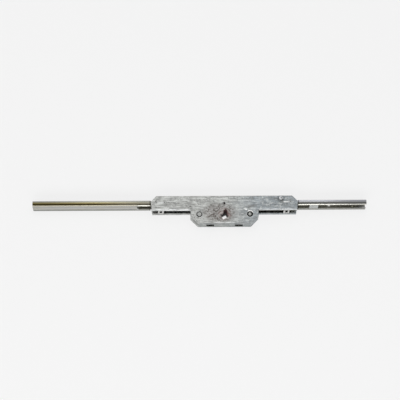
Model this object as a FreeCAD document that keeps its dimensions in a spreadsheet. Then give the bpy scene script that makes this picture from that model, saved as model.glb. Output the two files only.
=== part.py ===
"""Window espagnolette: a die-cast gear case with a toothed follower, and drive rods that slide in rails.

Frame: +X along the rails, +Y towards the face that shows in the sash groove, +Z away from the handle side.
The origin is on the axis of the handle spindle, on the handle side of the case. Millimetres.
"""

import FreeCAD, Part
import Sketcher
import math
import os

doc = FreeCAD.newDocument("espagnolette")

# Driving dimensions, in millimetres and degrees, kept in the document's sheet

SIZES = {
    # gear case
    "case_half_length": 62.9,
    "case_thickness": 12.0,
    "case_wall": 1.2,
    "parting_height": 7.4,
    "arm_back": 3.35,
    "arm_end_taper": 1.3,
    "front_corner_length": 5.0,
    "front_corner_depth": 5.2,
    "belly_side_room": 2.6,
    "belly_back_room": 0.1,
    "belly_corner_width": 6.3,
    "belly_corner_depth": 6.4,
    "arm_wall_height": 3.5,
    "edge_round": 0.5,
    "ridge_place": 9.2,
    "ridge_width": 2.6,
    "ridge_top_width": 0.5,
    "ridge_height": 0.2,
    "ridge_end_inset": 0.9,
    "oil_hole_radius": 0.9,
    "oil_hole_place": 9.7,
    # slots in the back of the belly
    "belly_slot_place": 12.2,
    "belly_slot_length": 6.5,
    "belly_slot_low": 2.75,
    "belly_slot_high": 6.5,
    # windows in the front of the case; an inset is measured from the end of the case
    "main_row_low": 3.6,
    "main_row_high": 6.0,
    "second_row_low": 8.9,
    "second_row_high": 10.3,
    "window_point": 1.2,
    "diamond_inset": 9.6,
    "diamond_half_length": 1.75,
    "left_window_inset": 13.1,
    "left_window_end": -17.4,
    "right_window_start": 8.5,
    "right_window_inset": 21.9,
    "left_slit_inset": 14.9,
    "left_slit_length": 11.0,
    "triangle_width": 3.0,
    "triangle_pitch": 4.6,
    "left_triangles_start": -15.6,
    "right_triangles_inset": 18.9,
    # handle fixing posts
    "post_spacing": 43.0,
    "thread_core_radius": 2.1,
    "spigot_wall": 0.9,
    "post_shoulder": 0.6,
    "thread_end_wall": 0.8,
    "stud_radius": 1.9,
    "stud_ring_gap": 0.7,
    "stud_rise": 0.12,
    # spindle follower
    "spindle_square": 7.0,
    "spindle_play": 0.1,
    "trunnion_wall": 0.88,
    "hub_shoulder": 0.5,
    "hub_flange_width": 2.2,
    "sector_half_angle": 75.0,
    "tooth_pitch": 4.5,
    "full_circle_teeth": 16.0,
    "pressure_angle": 20.0,
    "addendum_share": 0.85,
    "dedendum_share": 1.15,
    "backlash": 0.12,
    "gear_side_step": 0.2,
    "rest_turn": 15.0,
    # rack slide
    "rack_left_room": 2.5,
    "rack_right_room": 0.2,
    "rack_back_thickness": 2.144,
    "rack_low": 5.7,
    "rack_top_room": 0.4,
    "rack_centre": 3.0,
    "left_shoe_end": 17.0,
    "right_shoe_start": 19.0,
    "rack_block_length": 8.0,
    "rack_groove_width": 0.5,
    "rack_groove_depth": 0.4,
    "slide_gap": 0.15,
    # guide rails; an inset is measured from the end of the rail at the case
    "rail_left_length": 100.0,
    "rail_right_length": 58.3,
    "rail_back": 7.4,
    "rail_edge": 0.35,
    "rail_wall": 1.0,
    "rail_corner": 0.6,
    "rail_seam_low": 4.2,
    "rail_seam": 0.2,
    "groove_place": 8.9,
    "groove_depth": 0.6,
    "groove_slope": 2.1,
    "crest_depth": 0.3,
    "crest_width": 0.4,
    "rail_slant": 1.5,
    "crease_place": 6.3,
    "crease_half_width": 0.5,
    "crease_depth": 0.25,
    "rail_gap": 0.1,
    "notch_length": 11.4,
    "tongue_edge": 1.4,
    "ear_length": 5.8,
    "ear_back": 10.4,
    "ear_edge": 0.3,
    "ear_end_gap": 0.6,
    "left_ear_inset": 5.6,
    "right_ear_inset": 6.7,
    "face_slot_inset": 8.0,
    "face_slot_length": 11.0,
    "face_slot_place": 8.9,
    "face_slot_radius": 0.9,
    # drive rods; an inset is measured from the rail's far end, a shoulder's from the end of the case
    "rod_side_gap": 0.2,
    "rod_thickness": 2.9,
    "rod_left_inset": 12.5,
    "rod_right_inset": 6.5,
    "left_shoulder_inset": 10.9,
    "right_shoulder_inset": 9.9,
    "neck_width": 2.5,
    "eye_radius": 2.6,
    "rod_end_hole_radius": 2.0,
    "rod_end_hole_inset": 5.0,
    "travel_left": 12.0,
    "travel_right": 6.0,
    # rivets and screws
    "coupling_rivet_radius": 1.2,
    "coupling_head_radius": 2.2,
    "coupling_head_height": 0.8,
    "coupling_inset": 3.0,
    "front_rivet_inset": 14.6,
    "front_rivet_edge": 2.2,
    "front_rivet_radius": 0.9,
    "rivet_boss_wall": 1.2,
    "front_rivet_head_radius": 1.7,
    "front_rivet_head_height": 0.2,
    "rail_pin_radius": 1.0,
    "rail_pin_height": 4.0,
    "rail_head_radius": 1.9,
    "screw_head_depth": 0.8,
    "rail_screw_inset": 11.0,
    "rail_rivet_inset": 17.0,
    "rail_rivet_rise": 0.25,
    "face_screw_x": 3.8,
    "face_screw_height": 3.5,
    "face_screw_radius": 1.0,
    "face_screw_head_radius": 1.75,
    "face_screw_length": 4.6,
    "screw_boss_wall": 1.0,
    "cross_share": 0.6,
    "cross_width": 0.45,
    "cross_depth": 0.45,
    "rod_rivet_inset": 25.4,
    "rod_rivet_radius": 1.35,
    "pin_fit": 0.05,
    # back clips and rail guide
    "clip_width": 5.0,
    "left_clip_inset": 8.8,
    "right_clip_inset": 10.0,
    "clip_foot_height": 1.5,
    "clip_foot_depth": 1.0,
    "clip_window_width": 2.1,
    "clip_window_low": 5.4,
    "clip_window_high": 9.0,
    "guide_inset": 9.8,
    "guide_length": 7.2,
    "guide_top": 11.3,
    "guide_chamfer": 0.5,
    "seat_gap": 0.05,
}

sheet = doc.addObject("Spreadsheet::Sheet", "Sizes")
for row, (alias, number) in enumerate(SIZES.items(), start=1):
    sheet.set(f"A{row}", alias)
    sheet.set(f"B{row}", str(number))
    sheet.setAlias(f"B{row}", alias)
doc.recompute()


class Size:
    """A number together with the sheet formula that gives it."""

    def __init__(self, value, formula):
        self.value = value
        self.formula = formula

    def __add__(self, other):
        other = as_size(other)
        return Size(self.value + other.value, f"({self.formula} + {other.formula})")

    def __sub__(self, other):
        other = as_size(other)
        return Size(self.value - other.value, f"({self.formula} - {other.formula})")

    def __rsub__(self, other):
        return as_size(other) - self

    def __mul__(self, other):
        other = as_size(other)
        return Size(self.value * other.value, f"({self.formula} * {other.formula})")

    def __truediv__(self, other):
        other = as_size(other)
        return Size(self.value / other.value, f"({self.formula} / {other.formula})")

    def __rtruediv__(self, other):
        return as_size(other) / self

    def __neg__(self):
        return Size(-self.value, f"(0 - {self.formula})")

    __radd__ = __add__
    __rmul__ = __mul__


def as_size(number):
    return number if isinstance(number, Size) else Size(float(number), repr(float(number)))


def cell(alias):
    return Size(float(sheet.get(alias)), f"Sizes.{alias}")


def cosine(angle):
    return Size(math.cos(math.radians(angle.value)), f"cos({angle.formula})")


def sine(angle):
    return Size(math.sin(math.radians(angle.value)), f"sin({angle.formula})")


def polar(radius, angle):
    return (radius * cosine(angle), radius * sine(angle))


def rectangle(low_x, low_y, high_x, high_y):
    return [(low_x, low_y), (high_x, low_y), (high_x, high_y), (low_x, high_y)]


# Sketches and features: every vertex and radius is bound to the sheet

BEYOND = 1.0  # how far a cut runs past the face it opens


def bind(sketch, kind, place, size):
    index = sketch.addConstraint(Sketcher.Constraint(kind, *place, size.value))
    sketch.setExpression(f"Constraints[{index}]", size.formula)


def draw_outline(sketch, points):
    points = [(as_size(x), as_size(y)) for x, y in points]
    corners = [FreeCAD.Vector(x.value, y.value, 0) for x, y in points]
    first = sketch.GeometryCount
    count = len(corners)
    for i in range(count):
        sketch.addGeometry(Part.LineSegment(corners[i], corners[(i + 1) % count]))
    for i in range(count):
        after = first + (i + 1) % count
        sketch.addConstraint(Sketcher.Constraint("Coincident", first + i, 2, after, 1))
    for i, (x, y) in enumerate(points):
        bind(sketch, "DistanceX", (-1, 1, first + i, 1), x)
        bind(sketch, "DistanceY", (-1, 1, first + i, 1), y)


def draw_circle(sketch, x, y, radius):
    x, y = as_size(x), as_size(y)
    circle = Part.Circle(FreeCAD.Vector(x.value, y.value, 0), FreeCAD.Vector(0, 0, 1), radius.value)
    index = sketch.addGeometry(circle)
    bind(sketch, "DistanceX", (-1, 1, index, 3), x)
    bind(sketch, "DistanceY", (-1, 1, index, 3), y)
    bind(sketch, "Radius", (index,), radius)


def new_piece(label):
    piece = doc.addObject("PartDesign::Body", label)
    piece.Label = label
    return piece


def new_sketch(piece, role, offset):
    plane = [f for f in piece.Origin.OriginFeatures if f.Role == role][0]
    sketch = piece.newObject("Sketcher::SketchObject", f"{piece.Name}_sketch")
    sketch.AttachmentSupport = [(plane, "")]
    sketch.MapMode = "FlatFace"
    offset = as_size(offset)
    sketch.AttachmentOffset = FreeCAD.Placement(FreeCAD.Vector(0, 0, offset.value), FreeCAD.Rotation())
    sketch.setExpression(".AttachmentOffset.Base.z", offset.formula)
    return sketch


def shape_along(piece, feature, axis, low, high, outlines=(), circles=()):
    """Adds ("Pad") or cuts ("Pocket") outlines drawn across an axis, from low to high along it."""
    low, high = as_size(low), as_size(high)
    adds = feature == "Pad"
    if axis == "Z":
        role, offset = "XY_Plane", low if adds else high
    elif axis == "Y":
        role, offset = "XZ_Plane", -high if adds else -low
    else:
        role, offset = "YZ_Plane", low if adds else high
    sketch = new_sketch(piece, role, offset)
    for outline in outlines:
        draw_outline(sketch, outline)
    for x, y, radius in circles:
        draw_circle(sketch, x, y, radius)
    step = piece.newObject(f"PartDesign::{feature}", f"{piece.Name}_{feature.lower()}")
    step.Profile = sketch
    length = high - low
    step.Length = length.value
    step.setExpression("Length", length.formula)
    sketch.Visibility = False
    doc.recompute()
    return step


def turn(piece, profile):
    """Revolves a profile of (radius, height) points about the piece's own Z axis."""
    sketch = new_sketch(piece, "XZ_Plane", 0)
    draw_outline(sketch, profile)
    step = piece.newObject("PartDesign::Revolution", f"{piece.Name}_turned")
    step.Profile = sketch
    step.ReferenceAxis = (sketch, ["V_Axis"])
    step.Angle = 360.0
    doc.recompute()
    return step


def round_edges(piece, base, radius, chosen):
    """Fillets the edges of base whose points all pass the test."""
    names = []
    for number, edge in enumerate(base.Shape.Edges, start=1):
        if all(chosen(vertex.Point) for vertex in edge.Vertexes):
            names.append(f"Edge{number}")
    step = piece.newObject("PartDesign::Fillet", f"{piece.Name}_round")
    step.Base = (base, names)
    step.Radius = radius.value
    step.setExpression("Radius", radius.formula)
    doc.recompute()
    return step


def hollow(piece, base, wall, open_height):
    """Shells base inwards, open at the flat face that lies at open_height."""
    names = []
    for number, face in enumerate(base.Shape.Faces, start=1):
        box = face.BoundBox
        if abs(box.ZMin - open_height) < 1e-6 and abs(box.ZMax - open_height) < 1e-6:
            names.append(f"Face{number}")
    step = piece.newObject("PartDesign::Thickness", f"{piece.Name}_shell")
    step.Base = (base, names)
    step.Value = wall.value
    step.Join = 1
    step.Reversed = True
    step.setExpression("Value", wall.formula)
    doc.recompute()
    return step


def place(piece, x=0, y=0, z=0, axis=(0, 0, 1), angle=0):
    """Puts a piece at a bound position, turned by a bound angle about a fixed axis."""
    spot = [as_size(x), as_size(y), as_size(z)]
    angle = as_size(angle)
    piece.Placement = FreeCAD.Placement(
        FreeCAD.Vector(*[s.value for s in spot]),
        FreeCAD.Rotation(FreeCAD.Vector(*axis), angle.value),
    )
    for letter, size in zip("xyz", spot):
        piece.setExpression(f".Placement.Base.{letter}", size.formula)
    if angle.value:
        piece.setExpression(".Placement.Rotation.Angle", angle.formula)


FACE_WAYS = {"axis": (-1, 0, 0), "angle": 90}  # a turned piece whose own Z axis points along +Y


# Sizes that follow from the driving ones

thickness = cell("case_thickness")
wall = cell("case_wall")
plate_low = thickness - wall
half_length = cell("case_half_length")
arm_back = cell("arm_back")
parting = cell("parting_height")
slide_gap = cell("slide_gap")
pin_fit = cell("pin_fit")
seat_gap = cell("seat_gap")

pitch = cell("tooth_pitch")
full_teeth = cell("full_circle_teeth")
pitch_radius = pitch * full_teeth / (2 * math.pi)
module = pitch / math.pi
addendum = module * cell("addendum_share")
dedendum = module * cell("dedendum_share")
tooth_angle = 360.0 / full_teeth
rack_root = pitch_radius + dedendum
rack_front = rack_root + cell("rack_back_thickness")
front_inside = rack_front + slide_gap
case_front = front_inside + wall

spindle_reach = (cell("spindle_square") + cell("spindle_play")) / math.sqrt(2)
trunnion_radius = spindle_reach + cell("trunnion_wall")
hub_radius = trunnion_radius + cell("hub_shoulder")
belly_back = -(hub_radius + cell("belly_back_room") + wall)

post_x = cell("post_spacing") / 2
spigot_radius = cell("thread_core_radius") + cell("spigot_wall")
post_radius = spigot_radius + cell("post_shoulder")
stud_hole_radius = cell("stud_radius") + cell("stud_ring_gap")
belly_half = post_x + post_radius + cell("belly_side_room") + wall

rail_wall = cell("rail_wall")
rail_back = cell("rail_back")
rod_back = rail_back + rail_wall + slide_gap
rod_front = rod_back + cell("rod_thickness")
rail_front = rod_front + slide_gap + rail_wall
rail_low = cell("rail_edge")
rail_high = thickness - rail_low
rod_low = rail_low + rail_wall + cell("rod_side_gap")
rod_high = thickness - rod_low
rod_middle = thickness / 2
rail_near = half_length + cell("rail_gap")
rail_left_far = -(rail_near + cell("rail_left_length"))
rail_right_far = rail_near + cell("rail_right_length")
left_ear_start = -(half_length - cell("left_ear_inset"))
left_ear_end = left_ear_start + cell("ear_length")
right_ear_end = half_length - cell("right_ear_inset")
right_ear_start = right_ear_end - cell("ear_length")
rail_screw_x = -(rail_near + cell("rail_screw_inset"))
rail_rivet_x = -(rail_near + cell("rail_rivet_inset"))

front_rivet_x = half_length - cell("front_rivet_inset")
front_rivet_y = case_front - cell("front_rivet_edge")
rivet_boss_radius = cell("front_rivet_radius") + cell("rivet_boss_wall")
rack_left = left_ear_end + cell("travel_left") + cell("rack_left_room")
rack_right = front_rivet_x - rivet_boss_radius - cell("travel_right") - cell("rack_right_room")
rack_low = cell("rack_low")
rack_high = plate_low - cell("rack_top_room")
shoe_low = wall + slide_gap
coupling_height = (cell("main_row_high") + cell("second_row_low")) / 2
coupling_left = rack_left + cell("coupling_inset")
coupling_right = rack_right - cell("coupling_inset")


# Gear case: two zinc die castings that part along the middle of the front wall

def case_outline():
    """Outer outline of the case: two arms, and a belly that holds the spindle and the fixing posts."""
    arm_x = half_length - cell("arm_end_taper")
    belly_x = belly_half - cell("belly_corner_width")
    belly_y = belly_back + cell("belly_corner_depth")
    front_x = half_length - cell("front_corner_length")
    front_y = case_front - cell("front_corner_depth")
    right = [
        (belly_x, belly_back),
        (belly_half, belly_y),
        (belly_half, arm_back),
        (arm_x, arm_back),
        (half_length, front_y),
        (front_x, case_front),
    ]
    left = [(-x, y) for x, y in reversed(right)]
    return right + left


def ear_window(start, end):
    """Window in a shell that an ear of a rail's tongue stands in."""
    end_gap = cell("ear_end_gap")
    back = cell("ear_back")
    return rectangle(start - end_gap, back - seat_gap, end + end_gap, back + rail_wall + seat_gap)


def both_ear_windows():
    return [ear_window(left_ear_start, left_ear_end), ear_window(right_ear_start, right_ear_end)]


def arm_openings():
    """The backs of both arms, which are left open so that the rods can be seen and greased."""
    back = arm_back - BEYOND
    inside = arm_back + 2 * wall
    end = half_length + BEYOND
    return [
        rectangle(-end, back, -belly_half, inside),
        rectangle(belly_half, back, end, inside),
    ]


def rod_way():
    """Opening in both end walls for a rail's tongue and the drive rod behind it."""
    return rectangle(rod_back - 2 * slide_gap, wall, rail_front + seat_gap, thickness - wall)


def pointed_window(start, end, low, high):
    """Window with a pointed left end."""
    middle = (low + high) / 2
    point = start + cell("window_point")
    return [(start, middle), (point, low), (end, low), (end, high), (point, high)]


def triangles(start, low, high):
    """Three triangular windows in a row."""
    rows = []
    for i in range(3):
        left = start + i * cell("triangle_pitch")
        right = left + cell("triangle_width")
        rows.append([(left, high), (right, high), ((left + right) / 2, low)])
    return rows


def rivet_boss():
    """Boss in the front corner of each shell that the front rivet passes through."""
    return (front_rivet_x, front_rivet_y, rivet_boss_radius)


def rivet_hole():
    return (front_rivet_x, front_rivet_y, cell("front_rivet_radius") + pin_fit)


def main_row_windows():
    low = cell("main_row_low")
    high = cell("main_row_high")
    middle = (low + high) / 2
    place_x = cell("diamond_inset") - half_length
    reach = cell("diamond_half_length")
    diamond = [(place_x - reach, middle), (place_x, low), (place_x + reach, middle), (place_x, high)]
    left_start = cell("left_window_inset") - half_length
    right_end = half_length - cell("right_window_inset")
    return [
        diamond,
        pointed_window(left_start, cell("left_window_end"), low, high),
        pointed_window(cell("right_window_start"), right_end, low, high),
        *triangles(cell("left_triangles_start"), low, high),
        *triangles(half_length - cell("right_triangles_inset"), low, high),
    ]


def make_case_body():
    piece = new_piece("case_body")
    block = shape_along(piece, "Pad", "Z", 0, parting, [case_outline()])
    tray = hollow(piece, block, wall, parting.value)
    round_edges(piece, tray, cell("edge_round"), lambda p: p.z < 1e-6)
    boss_x = cell("face_screw_x")
    boss_radius = cell("face_screw_radius") + cell("screw_boss_wall")
    boss_end = case_front - cell("face_screw_length") - wall
    boss_top = cell("face_screw_height") + boss_radius
    boss = rectangle(boss_x - boss_radius, wall / 2, boss_x + boss_radius, boss_top)
    shape_along(piece, "Pad", "Y", boss_end, front_inside + wall / 2, [boss])
    shape_along(piece, "Pad", "Z", wall / 2, parting, [], [rivet_boss()])
    top = parting + BEYOND
    shape_along(piece, "Pocket", "Z", cell("arm_wall_height"), top, arm_openings())
    end = half_length + BEYOND
    shape_along(piece, "Pocket", "X", -end, -end + 2 * (BEYOND + wall), [rod_way()])
    shape_along(piece, "Pocket", "X", end - 2 * (BEYOND + wall), end, [rod_way()])
    holes = [
        (0, 0, trunnion_radius + pin_fit),
        (post_x, 0, spigot_radius + pin_fit),
        (-post_x, 0, spigot_radius + pin_fit),
    ]
    shape_along(piece, "Pocket", "Z", -BEYOND, wall + BEYOND, both_ear_windows(), holes)
    shape_along(piece, "Pocket", "Z", -BEYOND, parting + BEYOND, [], [rivet_hole()])
    slot_half = cell("belly_slot_length") / 2
    slots = []
    for middle in (-cell("belly_slot_place"), cell("belly_slot_place")):
        left, right = middle - slot_half, middle + slot_half
        slots.append(rectangle(left, cell("belly_slot_low"), right, cell("belly_slot_high")))
    shape_along(piece, "Pocket", "Y", belly_back - BEYOND, belly_back + wall + BEYOND / 2, slots)
    shape_along(piece, "Pocket", "Y", front_inside - seat_gap, case_front + BEYOND, main_row_windows())
    screw = (boss_x, cell("face_screw_height"), cell("face_screw_radius") + pin_fit)
    head = (boss_x, cell("face_screw_height"), cell("face_screw_head_radius") + pin_fit)
    screw_end = case_front - cell("face_screw_length")
    shape_along(piece, "Pocket", "Y", screw_end, case_front + BEYOND, [], [screw])
    head_seat = case_front - cell("screw_head_depth")
    shape_along(piece, "Pocket", "Y", head_seat, case_front + BEYOND, [], [head])
    return piece


def ridge_section():
    """Section of the low ridge that runs the length of the cover in front of the spindle."""
    middle = cell("ridge_place")
    foot = cell("ridge_width") / 2
    crown = cell("ridge_top_width") / 2
    top = thickness + cell("ridge_height")
    return [
        (middle - foot, thickness - wall / 2),
        (middle + foot, thickness - wall / 2),
        (middle + foot, thickness),
        (middle + crown, top),
        (middle - crown, top),
        (middle - foot, thickness),
    ]


def make_case_cover():
    piece = new_piece("case_cover")
    block = shape_along(piece, "Pad", "Z", parting, thickness, [case_outline()])
    top = thickness.value
    lid = hollow(piece, block, wall, parting.value)
    round_edges(piece, lid, cell("edge_round"), lambda p: p.z > top - 1e-6)
    shape_along(piece, "Pad", "Z", parting, thickness - wall / 2, [], [rivet_boss()])
    shape_along(piece, "Pocket", "Z", parting - BEYOND, plate_low, arm_openings())
    end = half_length + BEYOND
    shape_along(piece, "Pocket", "X", -end, -end + 2 * (BEYOND + wall), [rod_way()])
    shape_along(piece, "Pocket", "X", end - 2 * (BEYOND + wall), end, [rod_way()])
    ridge_end = half_length - cell("ridge_end_inset")
    shape_along(piece, "Pad", "X", -ridge_end, ridge_end, [ridge_section()])
    holes = [
        (0, 0, trunnion_radius + pin_fit),
        (post_x, 0, stud_hole_radius),
        (-post_x, 0, stud_hole_radius),
        (0, cell("oil_hole_place"), cell("oil_hole_radius")),
    ]
    shape_along(piece, "Pocket", "Z", plate_low - BEYOND, thickness + BEYOND, both_ear_windows(), holes)
    shape_along(piece, "Pocket", "Z", parting - BEYOND, thickness + BEYOND, [], [rivet_hole()])
    low, high = cell("second_row_low"), cell("second_row_high")
    left_start = cell("left_slit_inset") - half_length
    right_end = half_length - cell("right_window_inset")
    slits = [
        rectangle(left_start, low, left_start + cell("left_slit_length"), high),
        rectangle(cell("right_window_start"), low, right_end, high),
    ]
    shape_along(piece, "Pocket", "Y", front_inside - seat_gap, case_front + BEYOND, slits)
    return piece


# Fixing posts: turned steel, threaded for the handle's screws and peened over the cover

def make_post(label, x):
    piece = new_piece(label)
    core = cell("thread_core_radius")
    thread_end = plate_low - cell("thread_end_wall")
    stud = cell("stud_radius")
    rise = cell("stud_rise")
    profile = [
        (core, 0),
        (spigot_radius, 0),
        (spigot_radius, wall),
        (post_radius, wall),
        (post_radius, plate_low),
        (stud, plate_low),
        (stud, thickness),
        (stud - rise, thickness + rise),
        (0, thickness + rise),
        (0, thread_end),
        (core, thread_end),
    ]
    turn(piece, profile)
    place(piece, x=x)
    return piece


# Rivet through the bosses at the front of both shells

def make_front_rivet():
    piece = new_piece("front_rivet")
    shank = cell("front_rivet_radius")
    head = cell("front_rivet_head_radius")
    top = thickness + cell("front_rivet_head_height")
    profile = [
        (0, 0),
        (shank, 0),
        (shank, thickness),
        (head, thickness),
        (head, (thickness + top) / 2),
        (shank, top),
        (0, top),
    ]
    turn(piece, profile)
    place(piece, x=front_rivet_x, y=front_rivet_y)
    return piece


# Back clips: bent tabs that stand on the arms' back walls and hold the cover up

def make_back_clip(label, middle):
    piece = new_piece(label)
    half = cell("clip_width") / 2
    low = cell("arm_wall_height")
    inside = arm_back + wall
    foot = inside + cell("clip_foot_depth")
    section = [
        (arm_back, low),
        (inside + seat_gap, low),
        (inside + seat_gap, wall + seat_gap),
        (foot, wall + seat_gap),
        (foot, low + cell("clip_foot_height")),
        (inside, low + cell("clip_foot_height")),
        (inside, plate_low),
        (arm_back, plate_low),
    ]
    shape_along(piece, "Pad", "X", middle - half, middle + half, [section])
    window_half = cell("clip_window_width") / 2
    left, right = middle - window_half, middle + window_half
    window = rectangle(left, cell("clip_window_low"), right, cell("clip_window_high"))
    shape_along(piece, "Pocket", "Y", arm_back - BEYOND, foot + BEYOND, [window])
    return piece


# Guide rails: roll-formed steel channels with a tongue that hooks into the case

def rail_section(closed):
    """Section of the rail: its upper side ends in a crest and, where it is closed, slants down behind it."""
    groove = cell("groove_place")
    slope = cell("groove_slope")
    groove_floor = rail_high - cell("groove_depth")
    crest = rail_high - cell("crest_depth")
    crest_back = groove - cell("crest_width")
    crease = cell("crease_place")
    crease_half = cell("crease_half_width")
    seam = cell("rail_seam_low")
    lip = seam + cell("rail_seam")
    inner_back = rail_back + rail_wall
    inner_front = rail_front - rail_wall
    inner_low = rail_low + rail_wall
    inner_high = rail_high - rail_wall
    outside = [
        (rail_back, seam),
        (rail_back, rail_low),
        (rail_front, rail_low),
        (rail_front, crease - crease_half),
        (rail_front - cell("crease_depth"), crease),
        (rail_front, crease + crease_half),
        (rail_front, rail_high),
        (groove + slope, rail_high),
        (groove + slope / 2, rail_high - cell("groove_depth") / 3),
        (groove, groove_floor),
        (groove, crest),
        (crest_back, crest),
    ]
    upper_side = [(crest_back, inner_high)]
    if closed:
        upper_side = [
            (rail_back, rail_high - cell("rail_slant")),
            (rail_back, lip),
            (inner_back, lip),
            (inner_back, inner_high),
        ]
    inside = [
        (inner_front, inner_high),
        (inner_front, inner_low),
        (inner_back, inner_low),
        (inner_back, seam),
    ]
    return outside + upper_side + inside


def rail_corner(point):
    """True on the outer corners of the rail's section, which are rolled round."""
    at_side = min(abs(point.z - rail_low.value), abs(point.z - rail_high.value)) < 1e-6
    at_front_or_back = min(abs(point.y - rail_back.value), abs(point.y - rail_front.value)) < 1e-6
    return at_side and at_front_or_back


def make_rail(label, stretches):
    """Rail made of stretches, each a start, an end and whether its section is closed there."""
    piece = new_piece(label)
    for start, end, closed in stretches:
        block = shape_along(piece, "Pad", "X", start, end, [rail_section(closed)])
    names = []
    for number, edge in enumerate(block.Shape.Edges, start=1):
        ends = [vertex.Point for vertex in edge.Vertexes]
        if abs(ends[0].x - ends[-1].x) > BEYOND and all(rail_corner(p) for p in ends):
            names.append(f"Edge{number}")
    step = piece.newObject("PartDesign::Fillet", f"{piece.Name}_round")
    step.Base = (block, names)
    step.Radius = cell("rail_corner").value
    step.setExpression("Radius", cell("rail_corner").formula)
    doc.recompute()
    return piece


def add_tongue(piece, start, end, ear_start, ear_end):
    """Web of the rail carried on into the case, with an ear each side, bent back to stand in a window."""
    edge = cell("tongue_edge")
    tongue = rectangle(start, edge, end, thickness - edge)
    shape_along(piece, "Pad", "Y", rail_front - rail_wall, rail_front, [tongue])
    foot = wall + seat_gap
    tip = cell("ear_edge")
    back = cell("ear_back")
    front = back + rail_wall
    low_ear = [
        (rail_front, edge),
        (back, edge),
        (back, tip),
        (front, tip),
        (front, foot),
        (rail_front, foot),
    ]
    high_ear = [(y, thickness - z) for y, z in low_ear]
    for ear in (low_ear, high_ear):
        shape_along(piece, "Pad", "X", ear_start, ear_end, [ear])


def make_left_rail():
    near = -rail_near
    notch = near - cell("notch_length")
    piece = make_rail("guide_rail_left", [(rail_left_far, notch, True), (notch, near, False)])
    add_tongue(piece, near - BEYOND, left_ear_end, left_ear_start, left_ear_end)
    height = cell("rail_pin_height")
    pins = [(x, height, cell("rail_pin_radius") + pin_fit) for x in (rail_screw_x, rail_rivet_x)]
    shape_along(piece, "Pocket", "Y", rail_back - BEYOND, rail_front + BEYOND, [], pins)
    sinks = [(x, z, cell("rail_head_radius") + pin_fit) for x, z, _ in pins]
    sink_floor = rail_front - cell("screw_head_depth")
    shape_along(piece, "Pocket", "Y", sink_floor, rail_front + BEYOND, [], sinks)
    slot_radius = cell("face_slot_radius")
    slot_middle = cell("face_slot_place")
    slot_end = near - cell("face_slot_inset") - slot_radius
    slot_start = slot_end - cell("face_slot_length") + 2 * slot_radius
    slot = rectangle(slot_start, slot_middle - slot_radius, slot_end, slot_middle + slot_radius)
    web_back = rail_front - rail_wall - slide_gap / 2
    shape_along(piece, "Pocket", "Y", web_back, rail_front + BEYOND, [slot])
    rounds = [(slot_start, slot_middle, slot_radius), (slot_end, slot_middle, slot_radius)]
    for round_end in rounds:
        shape_along(piece, "Pocket", "Y", web_back, rail_front + BEYOND, [], [round_end])
    return piece


def make_right_rail():
    piece = make_rail("guide_rail_right", [(rail_near, rail_right_far, False)])
    add_tongue(piece, right_ear_start, rail_near + BEYOND, right_ear_start, right_ear_end)
    return piece


def make_rod_guide():
    """Moulded block that closes the open back of the right rail and steadies the rod."""
    piece = new_piece("rod_guide")
    low = cell("rail_seam_low") + seat_gap
    top = cell("guide_top")
    chamfer = cell("guide_chamfer")
    front = rail_back + rail_wall
    section = [
        (rail_back, low),
        (front, low),
        (front, top),
        (rail_back + chamfer, top),
        (rail_back, top - chamfer),
    ]
    start = rail_near + cell("guide_inset")
    shape_along(piece, "Pad", "X", start, start + cell("guide_length"), [section])
    return piece


# Screws and rivets whose axes run from the face to the back

def cross(reach):
    """Outline of a cross recess about the piece's own axis."""
    half = cell("cross_width") / 2
    quarter = [(reach, half), (half, half), (half, reach)]
    points = []
    for turn_x, turn_y in ((1, 1), (-1, 1), (-1, -1), (1, -1)):
        corner = [(x * turn_x, y * turn_y) for x, y in quarter]
        points += corner if turn_x == turn_y else list(reversed(corner))
    return points


def make_rail_screw():
    piece = new_piece("rail_screw")
    shank = cell("rail_pin_radius")
    head = cell("rail_head_radius")
    depth = rail_front - rail_back
    sink = cell("screw_head_depth")
    profile = [(0, 0), (shank, 0), (shank, depth - sink), (head, depth - sink), (head, depth), (0, depth)]
    turn(piece, profile)
    place(piece, rail_screw_x, rail_back, cell("rail_pin_height"), **FACE_WAYS)
    recess = cross(head * cell("cross_share"))
    shape_along(piece, "Pocket", "Z", depth - cell("cross_depth"), depth + BEYOND, [recess])
    return piece


def make_rail_rivet():
    piece = new_piece("rail_rivet")
    shank = cell("rail_pin_radius")
    head = cell("rail_head_radius")
    depth = rail_front - rail_back
    sink = cell("screw_head_depth")
    top = depth + cell("rail_rivet_rise")
    profile = [
        (0, 0),
        (shank, 0),
        (shank, depth - sink),
        (head, depth - sink),
        (head, depth),
        (shank, top),
        (0, top),
    ]
    turn(piece, profile)
    place(piece, rail_rivet_x, rail_back, cell("rail_pin_height"), **FACE_WAYS)
    return piece


def make_face_screw():
    piece = new_piece("face_screw")
    shank = cell("face_screw_radius")
    head = cell("face_screw_head_radius")
    depth = cell("face_screw_length")
    sink = cell("screw_head_depth")
    profile = [(0, 0), (shank, 0), (shank, depth - sink), (head, depth - sink), (head, depth), (0, depth)]
    turn(piece, profile)
    place(piece, cell("face_screw_x"), case_front - depth, cell("face_screw_height"), **FACE_WAYS)
    recess = cross(head * cell("cross_share"))
    shape_along(piece, "Pocket", "Z", depth - cell("cross_depth"), depth + BEYOND, [recess])
    return piece


def make_coupling_rivet(label, x):
    piece = new_piece(label)
    shank = cell("coupling_rivet_radius")
    head = cell("coupling_head_radius")
    rise = cell("coupling_head_height")
    length = rack_front - rod_back
    profile = [
        (0, -rise),
        (head - rise / 2, -rise),
        (head, -rise / 2),
        (head, 0),
        (shank, 0),
        (shank, length),
        (0, length),
    ]
    turn(piece, profile)
    place(piece, x, rod_back, coupling_height, **FACE_WAYS)
    return piece


rod_left_far = rail_left_far + cell("rod_left_inset")
rod_right_far = rail_right_far - cell("rod_right_inset")
rod_rivet_x = rod_right_far - cell("rod_rivet_inset")


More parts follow.
